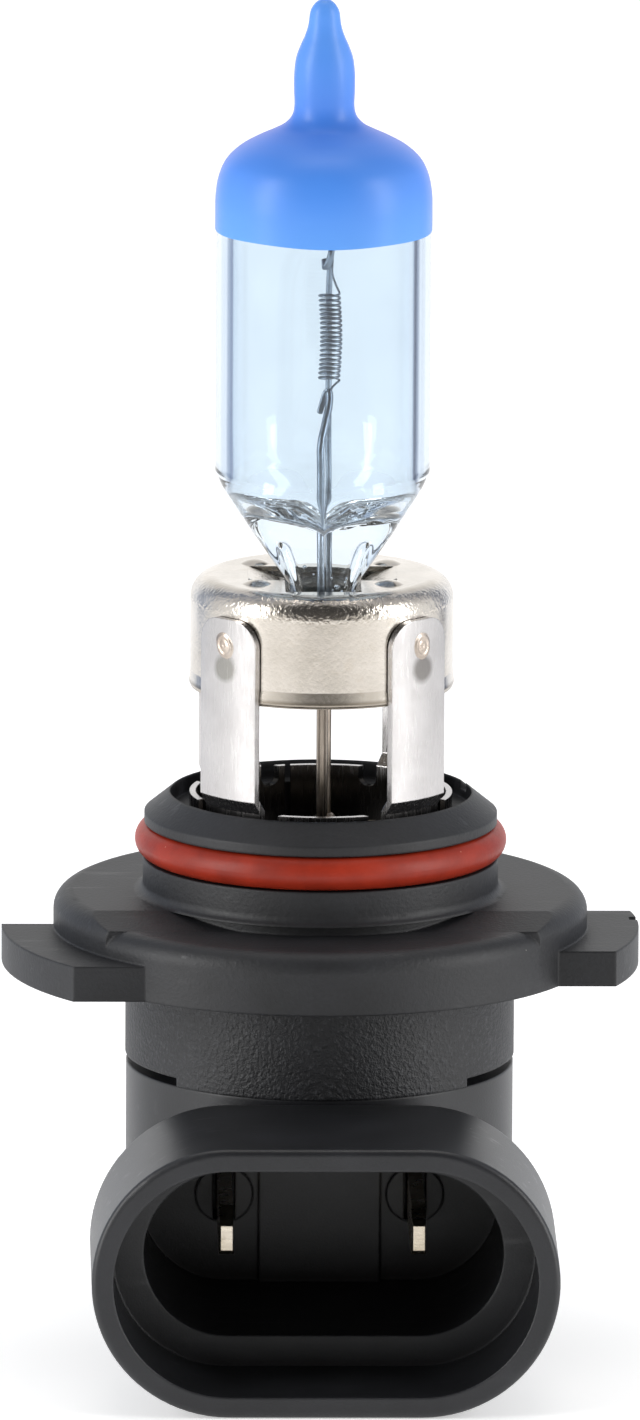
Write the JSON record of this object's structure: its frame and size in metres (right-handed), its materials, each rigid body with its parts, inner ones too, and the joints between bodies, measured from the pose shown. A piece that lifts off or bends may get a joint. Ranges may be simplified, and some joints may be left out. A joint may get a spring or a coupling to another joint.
{
  "type": "headlight bulb",
  "caption": "Single-filament halogen headlight bulb: blue-capped glass capsule in a metal cup and bracket on a black flanged base with a right-angle plug socket.",
  "frame": {"origin": "on the bulb's axis, in the plane of the flange's raised seat face (the lamp's reference plane)", "axes": "+Z along the bulb axis towards the glass tip; the plug socket's mouth faces -Y; +X completes the right-handed frame"},
  "size_m": [0.0357, 0.0408, 0.0756],
  "materials": {
    "clear_glass": "clear, faintly blue fused glass",
    "blue_coating": "satin blue coating",
    "tungsten": "drawn tungsten wire",
    "molybdenum": "drawn molybdenum wire",
    "lead_nickel": "nickel wire, brown heat tint",
    "cup_nickel": "bright nickel-plated sheet, warm",
    "bracket_steel": "bright nickel-plated sheet, cool",
    "weld_metal": "rough spot weld",
    "base_plastic": "black glass-filled nylon, eroded texture",
    "seal_rubber": "red-brown silicone rubber",
    "socket_plastic": "black moulded nylon, fine satin",
    "tinned_brass": "tin-plated brass",
    "seal_compound": "cast silicone"
  },
  "bodies": {
    "root": {"glass_envelope": "clear_glass", "blue_coating": "blue_coating", "filament_coil": "tungsten", "support_lead": "molybdenum", "short_lead": "molybdenum", "outer_lead_front": "lead_nickel", "outer_lead_rear": "lead_nickel", "retainer_cup": "cup_nickel", "mounting_bracket": "bracket_steel", "spot_welds": "weld_metal", "base_body": "base_plastic", "o_ring": "seal_rubber", "connector_housing": "socket_plastic", "terminal_left": "tinned_brass", "terminal_right": "tinned_brass", "terminal_bush_left": "socket_plastic", "terminal_bush_right": "socket_plastic", "lead_welds": "weld_metal", "sealing_compound": "seal_compound", "bottom_cap": "socket_plastic"}
  },
  "joints": []
}
